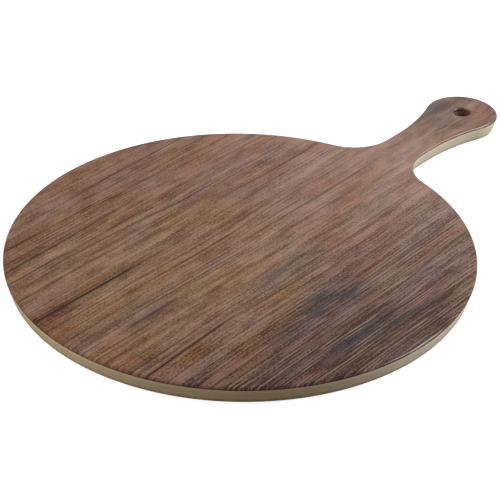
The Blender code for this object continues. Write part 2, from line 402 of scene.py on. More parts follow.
def pocket_section():
    """Section of a foot's boss and pocket, measured inwards from the pocket's wall."""
    section = settings().section
    foot_z = MOULDING_LOW.z
    under_z = plate_underside()
    ceiling_z = FOOT_HIGH.z + section.pocket_gap
    boss = -section.pocket_wall
    boss_root = boss - (under_z - foot_z) * math.tan(section.boss_draft)
    points = rounded_section([
        (-FAR_IN, under_z, 0),
        (boss_root, under_z, section.plate_fillet),
        (boss, foot_z, section.boss_edge_radius),
        (0, foot_z, section.foot_groove_radius),
        (0, ceiling_z, section.boss_edge_radius),
        (pocket_radius(), ceiling_z, 0),
    ])
    return supported(points, ends=((0, 1),))


def foot_section():
    """Section of a foot, from the middle of its bonded top round to the middle of its face."""
    section = settings().section
    groove_outer = section.foot_groove_distance
    groove_inner = groove_outer + section.foot_groove_width
    ledge = FOOT_LOW.z + section.foot_groove_depth
    soft = section.foot_groove_radius
    return rounded_section([
        (FOOT_RADIUS, FOOT_HIGH.z, 0),
        (0, FOOT_HIGH.z, section.boss_edge_radius),
        (0, FOOT_LOW.z, section.foot_edge_radius),
        (groove_outer, FOOT_LOW.z, soft),
        (groove_outer, ledge, soft),
        (groove_inner, ledge, soft),
        (groove_inner, FOOT_LOW.z, soft),
        (FOOT_RADIUS, FOOT_LOW.z, 0),
    ])


def new_object(name, data):
    """Object in the scene with that data."""
    made = bpy.data.objects.new(name, data)
    bpy.context.scene.collection.objects.link(made)
    return made


def guide_curve(name, points, closed=False):
    """Curve object that a node tree reads."""
    data = bpy.data.curves.new(name, "CURVE")
    data.dimensions = "3D"
    spline = data.splines.new("POLY")
    spline.points.add(len(points) - 1)
    for spline_point, (across, up) in zip(spline.points, points):
        spline_point.co = (across, up, 0, 1)
    spline.use_cyclic_u = closed
    return new_object(name, data)


# Node trees

NOISE_MIDDLE = 0.5
NEUTRAL_HUE = 0.5

# Kinds of socket
GEOMETRY = "NodeSocketGeometry"
OBJECT = "NodeSocketObject"
MATERIAL = "NodeSocketMaterial"
COLOUR = "NodeSocketColor"
VECTOR = "NodeSocketVector"
VALUE = "NodeSocketFloat"
COUNT = "NodeSocketInt"


class Nodes:
    """Adds nodes to a tree and links them as they are made."""

    def __init__(self, tree):
        self.tree = tree

    def feed(self, socket, value):
        """Link a socket to value, or set it to value."""
        if isinstance(value, bpy.types.NodeSocket):
            self.tree.links.new(value, socket)
        else:
            socket.default_value = value

    def add(self, kind, inputs=None, **options):
        """New node with its options and inputs set."""
        node = self.tree.nodes.new(kind)
        for option, value in options.items():
            setattr(node, option, value)
        for key, value in (inputs or {}).items():
            self.feed(node.inputs[key], value)
        return node

    def out(self, kind, inputs=None, **options):
        """First output of a new node."""
        return self.add(kind, inputs, **options).outputs[0]

    def take(self, *tables):
        """Values given to the group, through inputs named in tables by kind."""
        for table in tables:
            for kind, names in table.items():
                for name in names:
                    self.tree.interface.new_socket(name, in_out="INPUT", socket_type=kind)
        return self.add("NodeGroupInput").outputs

    def give(self, kinds, values):
        """Put out the group's results, each through an output of its kind."""
        for name, kind in kinds.items():
            self.tree.interface.new_socket(name, in_out="OUTPUT", socket_type=kind)
        self.add("NodeGroupOutput", values)

    def join(self, parts):
        """One geometry from several."""
        node = self.add("GeometryNodeJoinGeometry")
        for part in parts:
            self.tree.links.new(part, node.inputs["Geometry"])
        return node.outputs["Geometry"]

    def math(self, operation, *values):
        """Result of a Math node."""
        return self.out("ShaderNodeMath", dict(enumerate(values)), operation=operation)

    def times(self, first, second):
        """Product of two values."""
        return self.math("MULTIPLY", first, second)

    def fused(self, first, second, third):
        """First times second, plus third."""
        return self.math("MULTIPLY_ADD", first, second, third)

    def point(self, x=0.0, y=0.0, z=0.0):
        """Vector from three values."""
        return self.out("ShaderNodeCombineXYZ", {"X": x, "Y": y, "Z": z})

    def parts(self, vector):
        """X, Y and Z of a vector."""
        return self.add("ShaderNodeSeparateXYZ", {"Vector": vector}).outputs

    def noise(self, vector, scale=1.0, detail=2.0, roughness=0.5, distortion=0.0):
        """Value of a noise texture, about NOISE_MIDDLE on average."""
        names = ("Vector", "Scale", "Detail", "Roughness", "Distortion")
        values = (vector, scale, detail, roughness, distortion)
        return self.out("ShaderNodeTexNoise", dict(zip(names, values)))

    def cloud(self, vector, size, detail, roughness=0.5):
        """Noise in clouds of a size."""
        return self.noise(vector, self.math("DIVIDE", 1.0, size), detail, roughness)

    def remap(self, value, low, high, to_low=0.0, to_high=1.0, smooth=True):
        """Value carried from one range to another, and held there."""
        inputs = dict(enumerate((value, low, high, to_low, to_high)))
        kind = "SMOOTHSTEP" if smooth else "LINEAR"
        return self.out("ShaderNodeMapRange", inputs, interpolation_type=kind)

    def blend(self, factor, first, second, kind="MIX"):
        """Mix of two colours."""
        inputs = {"Factor": factor, "A": first, "B": second}
        node = self.add("ShaderNodeMix", inputs, data_type="RGBA", blend_type=kind)
        return node.outputs["Result"]


def new_tree(name, kind):
    """Empty node group, and what adds to it."""
    tree = bpy.data.node_groups.new(name, kind)
    return tree, Nodes(tree)


def opaque(value):
    """Colour with its alpha."""
    return (*value, 1.0)


# Geometry node trees

Carried = namedtuple("Carried", "wall first first_height last last_height")

# Named inputs of the trees, by kind
BOARD_SOCKETS = {
    OBJECT: ("Outline", "Rim Section", "Hole Section"),
    VECTOR: ("Hole Centre",),
    VALUE: ("Hole Radius",),
    COUNT: ("Hole Steps",),
    MATERIAL: ("Material",),
}
RING_SOCKETS = {
    OBJECT: ("Foot Section",),
    VECTOR: ("Ring Centre",),
    VALUE: ("Foot Radius", "Ring Radius"),
    COUNT: ("Foot Steps", "Foot Count"),
}


def guide_geometry(make, guide):
    """Curve of a guide object."""
    return make.add("GeometryNodeObjectInfo", {"Object": guide}).outputs["Geometry"]


def moved(make, geometry, offset):
    """Geometry moved by an offset."""
    return make.out("GeometryNodeTransform", {"Geometry": geometry, "Translation": offset})


def circle_path(make, steps, radius):
    """Circle to carry a section round."""
    return make.out("GeometryNodeCurvePrimitiveCircle", {"Resolution": steps, "Radius": radius})


def carried(make, path, guide):
    """Wall of a guide's section carried round a closed path, and the loops of its two ends.

    The section's X is its distance to the left of the path and its Y is its height. Each loop
    is level and comes with its height.
    """
    section = guide_geometry(make, guide)
    path = make.out("GeometryNodeSetCurveNormal", {"Curve": path}, mode="Z_UP")
    turned = make.out("GeometryNodeTransform", {"Geometry": section, "Rotation": (0, 0, math.pi)})
    wall = make.out("GeometryNodeCurveToMesh", {"Curve": path, "Profile Curve": turned})
    normal = make.out("GeometryNodeInputNormal")
    ends = []
    for factor in (0.0, 1.0):
        inputs = {"Curves": section, "Factor": factor}
        sample = make.add("GeometryNodeSampleCurve", inputs, mode="FACTOR")
        place = make.parts(sample.outputs["Position"])
        inward = make.times(place["X"], -1.0)
        offset = make.out("ShaderNodeVectorMath", {0: normal, "Scale": inward}, operation="SCALE")
        ends.append(make.out("GeometryNodeSetPosition", {"Geometry": path, "Offset": offset}))
        ends.append(place["Y"])
    return Carried(wall, *ends)


def level_face(make, loops, height, faces_up):
    """Flat face inside level loops, at a height."""
    fill = make.out("GeometryNodeFillCurve", {"Curve": make.join(loops)}, mode="TRIANGLES")
    if not faces_up:
        fill = make.out("GeometryNodeFlipFaces", {"Mesh": fill})
    return moved(make, fill, make.point(z=height))


def foot_ring(make, given):
    """Section turned about an upright axis, and the ring of points that it goes on."""
    circle = circle_path(make, given["Foot Steps"], given["Foot Radius"])
    foot = carried(make, circle, given["Foot Section"])
    inputs = {"Vertices": given["Foot Count"], "Radius": given["Ring Radius"]}
    ring = make.out("GeometryNodeMeshCircle", inputs)
    return foot, moved(make, ring, given["Ring Centre"])


def repeated(make, shape, points):
    """Shape set on each point, as real geometry."""
    copies = make.out("GeometryNodeInstanceOnPoints", {"Points": points, "Instance": shape})
    return make.out("GeometryNodeRealizeInstances", {"Geometry": copies})


def finish_tree(make, geometry, material):
    """Last nodes of a tree: welded, smooth, real and with its material."""
    real = make.out("GeometryNodeRealizeInstances", {"Geometry": geometry})
    welded = make.out("GeometryNodeMergeByDistance", {"Geometry": real, "Distance": MERGE_DISTANCE})
    smooth = make.out("GeometryNodeSetShadeSmooth", {"Geometry": welded})
    painted = make.out("GeometryNodeSetMaterial", {"Geometry": smooth, "Material": material})
    make.give({"Geometry": GEOMETRY}, {"Geometry": painted})


def board_tree(name, pockets):
    """Rim and hole walls with a flat top and a flat underside, and foot pockets in it if asked."""
    tree, make = new_tree(name, "GeometryNodeTree")
    given = make.take(BOARD_SOCKETS, RING_SOCKETS if pockets else {})
    rim = carried(make, guide_geometry(make, given["Outline"]), given["Rim Section"])
    circle = circle_path(make, given["Hole Steps"], given["Hole Radius"])
    clockwise = make.out("GeometryNodeReverseCurve", {"Curve": circle})
    hole = carried(make, moved(make, clockwise, given["Hole Centre"]), given["Hole Section"])
    faces = [rim.wall, hole.wall]
    under_loops = [rim.last, hole.last]
    if pockets:
        pocket, ring = foot_ring(make, given)
        faces.append(repeated(make, pocket.wall, ring))
        under_loops.append(repeated(make, pocket.first, ring))
    faces.append(level_face(make, [rim.first, hole.first], rim.first_height, True))
    faces.append(level_face(make, under_loops, rim.last_height, False))
    finish_tree(make, make.join(faces), given["Material"])
    return tree


def feet_tree():
    """Ring of like feet, each a section turned about its own upright axis."""
    tree, make = new_tree("Foot Ring", "GeometryNodeTree")
    given = make.take(RING_SOCKETS, {MATERIAL: ("Material",)})
    foot, ring = foot_ring(make, given)
    finish_tree(make, repeated(make, foot.wall, ring), given["Material"])
    return tree


def grown_piece(name, tree, values):
    """Plain mesh object made by a geometry tree with the given inputs."""
    piece = new_object(name, bpy.data.meshes.new(name))
    modifier = piece.modifiers.new("Shape", "NODES")
    modifier.node_group = tree
    for item in tree.interface.items_tree:
        if item.in_out == "INPUT":
            modifier[item.identifier] = values[item.name]
    depsgraph = bpy.context.evaluated_depsgraph_get()
    mesh = bpy.data.meshes.new_from_object(piece.evaluated_get(depsgraph), depsgraph=depsgraph)
    piece.modifiers.remove(modifier)
    piece.data = mesh
    mesh.name = name
    mesh.materials.clear()
    mesh.materials.append(values["Material"])
    mesh.set_sharp_from_angle(angle=SHARP_ANGLE)
    for value in values.values():
        if isinstance(value, bpy.types.Object):
            bpy.data.objects.remove(value)
    if not mesh.polygons:
        raise RuntimeError(f"{name} came out empty")
    return piece


def board_values(material, rim, hole):
    """Inputs that the moulding and the sheet share."""
    return {
        "Outline": guide_curve("outline", paddle_outline(), closed=True),
        "Rim Section": guide_curve("rim_section", rim),
        "Hole Section": guide_curve("hole_section", hole),
        "Hole Centre": (HOLE_X, 0.0, 0.0),
        "Hole Radius": settings().plan.hole_radius,
        "Hole Steps": HOLE_STEPS,
        "Material": material,
    }


def ring_values(section, radius):
    """Inputs that the feet and their pockets share."""
    return {
        "Foot Section": guide_curve("foot_section", section),
        "Foot Radius": radius,
        "Foot Steps": FOOT_STEPS,
        "Foot Count": len(FOOT_NODES),
        "Ring Radius": RING_RADIUS,
        "Ring Centre": DISC_CENTRE,
    }


# Shader groups that more than one material uses

DRIFT_EDGES = (0.35, 0.7)

# Turn and drawn-out scale of each set of scratches, and their scale across
SCRATCHES = ((0.35, 0.035), (1.9, 0.05), (2.7, 0.04))
SCRATCH_SCALE = (2.2, 0.5)
SCRATCH_EDGES = (0.735, 0.77)
SCRATCH_WOBBLE = 0.15


def tone_drift_group(name):
    """Slow drift of a colour towards a second one, as pigment and pressing leave it."""
    tree, make = new_tree(name, "ShaderNodeTree")
    colours = ("Color", "Drift Color")
    given = make.take({VECTOR: ("Vector",), COLOUR: colours, VALUE: ("Cloud Size", "Amount")})
    cloud = make.cloud(given["Vector"], given["Cloud Size"], detail=4.0, roughness=0.6)
    factor = make.times(make.remap(cloud, *DRIFT_EDGES), given["Amount"])
    drifted = make.blend(factor, given["Color"], given["Drift Color"])
    make.give({"Color": COLOUR}, {"Color": drifted})
    return tree


def moulded_skin_group(name):
    """Height of a moulded surface: a slow ripple and a fine grain."""
    tree, make = new_tree(name, "ShaderNodeTree")
    given = make.take({VECTOR: ("Vector",), VALUE: ("Ripple Size", "Grain Size", "Grain Share")})
    ripple = make.cloud(given["Vector"], given["Ripple Size"], detail=1.0)
    grain = make.cloud(given["Vector"], given["Grain Size"], detail=2.0)
    height = make.fused(grain, given["Grain Share"], ripple)
    make.give({"Height": VALUE}, {"Height": height})
    return tree


def handling_marks_group(name):
    """Roughness after use: hair scratches in a few directions, and smudges."""
    tree, make = new_tree(name, "ShaderNodeTree")
    values = ("Roughness", "Scratch Depth", "Smudge Size", "Smudge Depth")
    given = make.take({VECTOR: ("Vector",), VALUE: values})
    scratches = 0.0
    for turn, stretch in SCRATCHES:
        scale = (stretch, *SCRATCH_SCALE)
        inputs = {"Vector": given["Vector"], "Rotation": (0, 0, turn), "Scale": scale}
        turned = make.out("ShaderNodeMapping", inputs)
        lines = make.noise(turned, detail=1.0, distortion=SCRATCH_WOBBLE)
        scratches = make.math("MAXIMUM", scratches, make.remap(lines, *SCRATCH_EDGES))
    cloud = make.cloud(given["Vector"], given["Smudge Size"], detail=3.0)
    smudge = make.math("SUBTRACT", cloud, NOISE_MIDDLE)
    dulled = make.fused(smudge, given["Smudge Depth"], given["Roughness"])
    dulled = make.fused(scratches, given["Scratch Depth"], dulled)
    make.give({"Roughness": VALUE}, {"Roughness": dulled})
    return tree


# Wood print, in millimetres from the disc's middle, along and across the grain

Streak = namedtuple("Streak", "reach width detail roughness place weight", defaults=(1.0,))
Ruling = namedtuple("Ruling", "tint spacing reach edge strength front_strength place")
Seam = namedtuple("Seam", "across start end rise width strength")
Patch = namedtuple("Patch", "along across reach spread strength")
Slope = namedtuple("Slope", "axis start end before after")

# Tints of the print, as the settings and the group's inputs name them; the shaded one is painted
# shade
TINTS = ("dark", "light", "line", "hair", "deep", "mauve", "blush", "smoke")

# Layers of the print's tone: growth bands, streaks, fibres and specks
STREAKS = (
    Streak(420.0, 15.0, 1.0, 0.5, 2.9, 0.60),
    Streak(190.0, 5.5, 1.0, 0.6, 7.7, 0.45),
    Streak(160.0, 1.7, 1.0, 0.6, 12.3, 1.15),
    Streak(26.0, 1.5, 1.0, 0.6, 9.1, 0.80),
    Streak(1.7, 1.1, 0.0, 0.5, 14.7, 1.05),
)

# Mottle over them
MOTTLE = (
    Streak(40.0, 9.0, 1.0, 0.6, 5.9, 0.95),
    Streak(13.0, 6.5, 1.0, 0.6, 19.3, 0.75),
)

# Both, with their level on the handle and what they gain at the front
TONE_LAYERS = ((STREAKS, 0.42, 1.2), (MOTTLE, 1.1, 0.6))

# Slow changes of tone, partly the print's own and partly painted light and shade: darker at the far
# left and at the handle's end, lighter towards the neck and the back
SLOPES = (
    Slope("X", -150.0, -20.0, -0.09, 0.0),
    Slope("X", 180.0, 230.0, 0.0, -0.40),
    Slope("X", 60.0, 150.0, 0.57, 0.685),
    Slope("Y", 35.0, 105.0, 0.0, 0.065),
)

# Noise that bends the grain, and that shifts its hue, its saturation and the patches' edges
WAVER = Streak(130.0, 60.0, 2.0, 0.5, 11.3)
RIPPLE = Streak(34.0, 14.0, 2.0, 0.5, 4.1)
WARMTH = Streak(60.0, 20.0, 2.0, 0.5, 1.7)
RICHNESS = Streak(50.0, 18.0, 2.0, 0.5, 8.3)
CLOUD = Streak(16.0, 7.0, 3.0, 0.6, 6.4)

# Where the print changes: across to its front side, then along towards the handle
FRONT = (-20.0, -125.0)
BENDING = (120.0, 190.0)
SOFTENING = (125.0, 175.0)
# Stretch along which the painted shade on the front side fades
SHADE_FADING = (0.0, 95.0)

# Values before and after those changes
WAVER_SWING = (5.0, 22.0)
RIPPLE_SWING = (0.4, 7.0)
CRISPNESS = (1.0, 0.12)
# Painted shade on the front side, before and after it fades
SHADE_DEPTH = (1.0, 0.62)
HUE_SWING = (0.05, 0.11)
SATURATION_SWING = (0.6, 1.1)

# Crisp lines along the grain: dark growth lines, finer dark lines and light hairlines
RULINGS = (
    Ruling("Line", 6.1, 170.0, 0.70, 0.62, 0.0, 17.1),
    Ruling("Line", 2.7, 60.0, 0.20, 0.30, 0.55, 21.9),
    Ruling("Hair", 2.5, 34.0, 0.20, 0.12, 0.66, 3.3),
)

# How those lines slip and gather, with reach and widths in line spacings
SLIP_REACH = 45.0
SLIP_WIDTH = 3.0
SLIP_SWING = 16.0
CLUSTER_WIDTH = 2.2
CLUSTER_PLACE = 1.3
CLUSTER_EDGES = (-0.1, 0.14)

# Dark growth lines that stand alone
SEAMS = (
    Seam(34.0, -152.0, -40.0, -1.0, 1.3, 1.0),
    Seam(-53.5, -150.0, -50.0, 5.0, 1.3, 0.95),
    Seam(86.0, -132.0, 12.0, 5.0, 1.2, 0.6),
    Seam(-11.0, -114.0, -62.0, -1.0, 1.8, 0.6),
    Seam(62.0, -70.0, -20.0, 1.0, 1.2, 0.45),
    Seam(-104.0, 38.0, 128.0, 6.0, 1.2, 0.5),
)

# How far those sway, their core and halo in line widths, and how they begin and fade
SEAM_SWING = 2.5
SEAM_CORE = 0.4
SEAM_HALO = 4.0
HALO_STRENGTH = 0.22
SEAM_BEGINNING = (-4.0, 6.0)
SEAM_FADING = 0.35

# Smoky patches
SMOKES = (
    Patch(-6.0, -82.0, 38.0, 15.0, 0.9),
    Patch(-28.0, -119.5, 46.0, 13.0, 0.85),
    Patch(16.0, -131.0, 26.0, 8.0, 0.45),
    Patch(-50.0, -84.0, 30.0, 11.0, 0.4),
    Patch(0.0, -40.0, 40.0, 10.0, 0.4),
    Patch(-100.0, -10.0, 30.0, 6.0, 0.4),
    Patch(86.0, -86.0, 30.0, 7.0, 0.3),
    Patch(230.0, 18.0, 36.0, 13.0, 0.6),
    Patch(252.0, 12.0, 28.0, 14.0, 0.3),
    Patch(208.0, 5.0, 30.0, 9.0, 0.25),
    Patch(184.0, -6.0, 24.0, 4.0, 0.25),
)

# Reddish patches
BLUSHES = (
    Patch(-150.0, 26.0, 30.0, 26.0, 1.0),
    Patch(-144.0, -40.0, 22.0, 30.0, 0.7),
    Patch(-90.0, -112.0, 34.0, 14.0, 0.9),
    Patch(30.0, -121.0, 30.0, 9.0, 0.9),
    Patch(58.0, -112.0, 24.0, 8.0, 0.6),
    Patch(20.0, -64.0, 34.0, 8.0, 0.6),
)

# Middle of the print, which keeps its warm brown
WARM_MIDDLE = Patch(-60.0, 5.0, 130.0, 130.0, 1.0)

# How ragged the patches are, and how far a layer's place moves it across for each step along
PATCH_RAGGEDNESS = 2.0
PLACE_ACROSS = 3.7


def streaks(make, along, across, layer):
    """Noise drawn out along the grain, about 0 on average."""
    shifted = make.fused(along, 1.0 / layer.reach, layer.place)
    spread = make.fused(across, 1.0 / layer.width, layer.place * PLACE_ACROSS)
    noise = make.noise(make.point(shifted, spread), 1.0, layer.detail, layer.roughness)
    return make.math("SUBTRACT", noise, NOISE_MIDDLE)


def ruled_lines(make, along, across, ruling):
    """Irregular thin lines along the grain, gathered in drawn-out clusters."""
    spacing = ruling.spacing
    slip = Streak(spacing * SLIP_REACH, spacing * SLIP_WIDTH, 1.0, 0.5, ruling.place)
    cluster_place = ruling.place + CLUSTER_PLACE
    cluster = Streak(ruling.reach, spacing * CLUSTER_WIDTH, 2.0, 0.5, cluster_place)
    turns = make.times(across, math.tau / spacing)
    phase = make.fused(streaks(make, along, across, slip), SLIP_SWING, turns)
    line = make.remap(make.math("SINE", phase), ruling.edge, 1.0)
    gathered = make.remap(streaks(make, along, across, cluster), *CLUSTER_EDGES)
    return make.times(line, gathered)


def seam_mask(make, along, across, waver, seam):
    """One dark growth line that fades out at both ends."""
    fade_start = seam.end - (seam.end - seam.start) * SEAM_FADING
    run = make.remap(along, seam.start, seam.end, smooth=False)
    line = make.fused(run, seam.rise, seam.across)
    line = make.fused(waver, SEAM_SWING, line)
    distance = make.math("ABSOLUTE", make.math("SUBTRACT", across, line))
    core = make.remap(distance, seam.width * SEAM_CORE, seam.width, 1.0, 0.0)
    halo = make.remap(distance, 0.0, seam.width * SEAM_HALO, HALO_STRENGTH, 0.0)
    begin = make.remap(along, *(seam.start + offset for offset in SEAM_BEGINNING))
    stop = make.remap(along, fade_start, seam.end, seam.strength, 0.0)
    return make.times(make.math("MAXIMUM", core, halo), make.times(begin, stop))


def patch_mask(make, along, across, cloud, patch):
    """One ragged patch, drawn out along the grain."""
    run = make.math("DIVIDE", make.math("SUBTRACT", along, patch.along), patch.reach)
    rise = make.math("DIVIDE", make.math("SUBTRACT", across, patch.across), patch.spread)
    radius = make.fused(run, run, make.times(rise, rise))
    radius = make.fused(cloud, PATCH_RAGGEDNESS, radius)
    return make.remap(radius, 0.0, 1.0, patch.strength, 0.0)


def summed(make, masks):
    """Sum of several masks, held at 1."""
    total = 0.0
    for mask in masks:
        total = make.math("ADD", total, mask)
    return make.math("MINIMUM", total, 1.0)


def wood_print_group(name):
    """Straight dark wood grain as it is printed on the sheet, with the grain along X, under painted
    shade over its front side and slow tone changes that are partly painted light and shade.
    """
    tree, make = new_tree(name, "ShaderNodeTree")
    given = make.take({VECTOR: ("Vector",), COLOUR: [tint.title() for tint in TINTS]})
    place = make.parts(given["Vector"])
    along = place["X"]
    across = place["Y"]

    waver = streaks(make, along, across, WAVER)
    ripple = streaks(make, along, across, RIPPLE)
    bent = make.fused(waver, make.remap(along, *BENDING, *WAVER_SWING), across)
    bent = make.fused(ripple, make.remap(along, *BENDING, *RIPPLE_SWING), bent)
    front = make.remap(across, *FRONT)
    crisp = make.remap(along, *SOFTENING, *CRISPNESS)

    tone = 0.0
    for slope in SLOPES:
        tone = make.math("ADD", make.remap(place[slope.axis], *slope[1:]), tone)
    for layers, handle_level, front_gain in TONE_LAYERS:
        level = make.remap(crisp, 0.0, 1.0, handle_level, 1.0, smooth=False)
        contrast = make.fused(front, front_gain, level)
        for layer in layers:
            strength = make.times(contrast, layer.weight)
            lines = streaks(make, along, bent, layer)
            tone = make.fused(lines, strength, tone)
    wood = make.blend(tone, given["Dark"], given["Light"])

    hue_swing = make.remap(front, 0.0, 1.0, *HUE_SWING)
    saturation_swing = make.remap(front, 0.0, 1.0, *SATURATION_SWING)
    warmth = streaks(make, along, bent, WARMTH)
    richness = streaks(make, along, bent, RICHNESS)
    wood = make.out("ShaderNodeHueSaturation", {
        "Hue": make.fused(warmth, hue_swing, NEUTRAL_HUE),
        "Saturation": make.fused(richness, saturation_swing, 1.0),
        "Color": wood,
    })
    cloud = streaks(make, along, bent, CLOUD)
    middle = patch_mask(make, along, across, cloud, WARM_MIDDLE)
    masks = {
        # Painted shade, multiplied over the print's front side and fading towards the handle
        "Deep": make.times(front, make.remap(along, *SHADE_FADING, *SHADE_DEPTH)),
        "Mauve": make.math("SUBTRACT", 1.0, middle),
    }
    for tint, patches in (("Blush", BLUSHES), ("Smoke", SMOKES)):
        masks[tint] = summed(make, [patch_mask(make, along, across, cloud, each) for each in patches])
    for tint, mask in masks.items():
        wood = make.blend(mask, wood, given[tint], kind="MULTIPLY")

    for ruling in RULINGS:
        depth = make.fused(front, ruling.front_strength, ruling.strength)
        lines = make.times(ruled_lines(make, along, bent, ruling), make.times(depth, crisp))
        wood = make.blend(lines, wood, given[ruling.tint])
    seam = summed(make, [seam_mask(make, along, across, waver, line) for line in SEAMS])
    wood = make.blend(seam, wood, given["Line"])

    make.give({"Color": COLOUR, "Relief": VALUE}, {"Color": wood, "Relief": tone})
    return tree


# Materials

Surface = namedtuple("Surface", "marks skin relief")

# Marks (scratch depth, smudge size and depth), skin (ripple size, grain size and share) with
# sizes in millimetres, and depth of relief in metres
PRINT_SURFACE = Surface((0.08, 38.0, 0.16), (9.0, 0.35, 0.25), 0.00003)
MELAMINE_SURFACE = Surface((0.12, 14.0, 0.14), (5.0, 0.3, 0.2), 0.00004)
SILICONE_SURFACE = Surface((-0.1, 4.0, 0.2), (2.0, 0.16, 0.9), 0.00003)
GRAIN_RELIEF = 0.5

# Depths below the serving face, in millimetres, over which the folded print changes: painted shade
# over the fold, the print's end and its polished glaze
FOLD_SHADE_DEPTHS = (0.6, 1.0)
PRINT_ENDS = (1.5, 1.8)
POLISH_BEGINS = (0.3, 0.5)
POLISH_ENDS = (1.5, 1.1)
FOLD_SHADE_STRENGTH = 0.40
FOLD_POLISH = 0.9

# Distances from the hole's axis, in millimetres, within which the print doesn't end
HOLE_COLLAR = (10.0, 12.0)

# Painted light and shade on the moulding, in millimetres above its foot, below its lip and out from
# its bore: shade at the foot, a highlight at the lip and shade in the bore
FOOT_SHADE_HEIGHTS = (4.0, 1.6)
FOOT_SHADE_STRENGTHS = (0.25, 0.65)
RUB_EDGES = (0.35, 0.75)
RUB_SCALE = 0.22
LIP_HIGHLIGHT_DEPTHS = (1.3, 0.3)
LIP_HIGHLIGHT_STRENGTH = 0.4
BORE_SHADE_REACHES = (0.4, 1.2)
BORE_SHADE_STRENGTH = 0.92

# Cloud size in millimetres and amount of each material's drift
MELAMINE_DRIFT = (22.0, 0.35)
SILICONE_DRIFT = (1.6, 0.28)


def new_material(name):
    """Node material, what adds to it, its Principled shader and millimetre coordinates."""
    material = bpy.data.materials.new(name)
    material.use_nodes = True
    make = Nodes(material.node_tree)
    shader = material.node_tree.nodes["Principled BSDF"]
    measured = make.out("ShaderNodeMapping", {
        "Vector": make.add("ShaderNodeTexCoord").outputs["Object"],
        "Location": (-DISC_X * MILLIMETRES, 0.0, 0.0),
        "Scale": (MILLIMETRES, MILLIMETRES, MILLIMETRES),
    })
    return material, make, shader, measured


def shared_effect(make, name, builder, *values):
    """Outputs of a shader group, built if it isn't there yet, with values in its inputs' order."""
    group = bpy.data.node_groups.get(name) or builder(name)
    return make.add("ShaderNodeGroup", dict(enumerate(values)), node_tree=group).outputs


def drifting_tone(make, vector, base, shade, drift):
    """Colour that drifts slowly towards a second one."""
    colours = (opaque(base), opaque(shade))
    return shared_effect(make, "Tone Drift", tone_drift_group, vector, *colours, *drift)["Color"]


def dress_shader(make, shader, vector, tone, roughness, surface, grain=None):
    """Set a shader's colour and roughness, with its surface's marks and fine relief."""
    worn = (vector, roughness, *surface.marks)
    marks = shared_effect(make, "Handling Marks", handling_marks_group, *worn)
    skin = shared_effect(make, "Moulded Skin", moulded_skin_group, vector, *surface.skin)
    height = skin["Height"]
    if grain is not None:
        height = make.fused(grain, GRAIN_RELIEF, height)
    bump = {"Height": height, "Strength": 1.0, "Distance": surface.relief}
    make.feed(shader.inputs["Base Color"], tone)
    make.feed(shader.inputs["Roughness"], marks["Roughness"])
    make.feed(shader.inputs["Normal"], make.out("ShaderNodeBump", bump))


def hole_distance(make, place):
    """Distance from the hanging hole's axis."""
    offset = make.math("SUBTRACT", place["X"], (HOLE_X - DISC_X) * MILLIMETRES)
    squares = make.math("ADD", make.math("POWER", offset, 2.0), make.math("POWER", place["Y"], 2.0))
    return make.math("SQRT", squares)


def print_edge_masks(make, vector):
    """Where painted shade darkens the print over an edge, where the print ends and where its glaze is
    polished.

    They follow the depth below the serving face alone, so they are the same all round the board.
    """
    place = make.parts(vector)
    drop = make.math("SUBTRACT", SHEET_HIGH.z * MILLIMETRES, place["Z"])
    off_hole = make.remap(hole_distance(make, place), *HOLE_COLLAR)
    # Painted shade over the lower part of the fold
    dark = make.remap(drop, *FOLD_SHADE_DEPTHS, 0.0, FOLD_SHADE_STRENGTH)
    bare = make.times(make.remap(drop, *PRINT_ENDS), off_hole)
    polished = make.remap(drop, *POLISH_ENDS, 0.0, FOLD_POLISH)
    return dark, bare, make.times(make.remap(drop, *POLISH_BEGINS), polished)


def wood_print_material():
    """Printed wood grain under a satin glaze."""
    finish = settings().finish
    material, make, shader, vector = new_material("glazed_wood_print")
    tints = [opaque(getattr(finish, f"grain_{tint}")) for tint in TINTS]
    wood = shared_effect(make, "Wood Print", wood_print_group, vector, *tints)
    dark, bare, polish = print_edge_masks(make, vector)
    # Painted shade darkens the folded print
    tone = make.blend(dark, wood["Color"], opaque(finish.grain_fold_shade))
    tone = make.blend(bare, tone, opaque(finish.melamine))
    dress_shader(make, shader, vector, tone, finish.print_roughness, PRINT_SURFACE, wood["Relief"])
    shader.inputs["Specular IOR Level"].default_value = finish.print_gloss
    make.feed(shader.inputs["Coat Weight"], polish)
    shader.inputs["Coat Roughness"].default_value = finish.edge_roughness
    return material


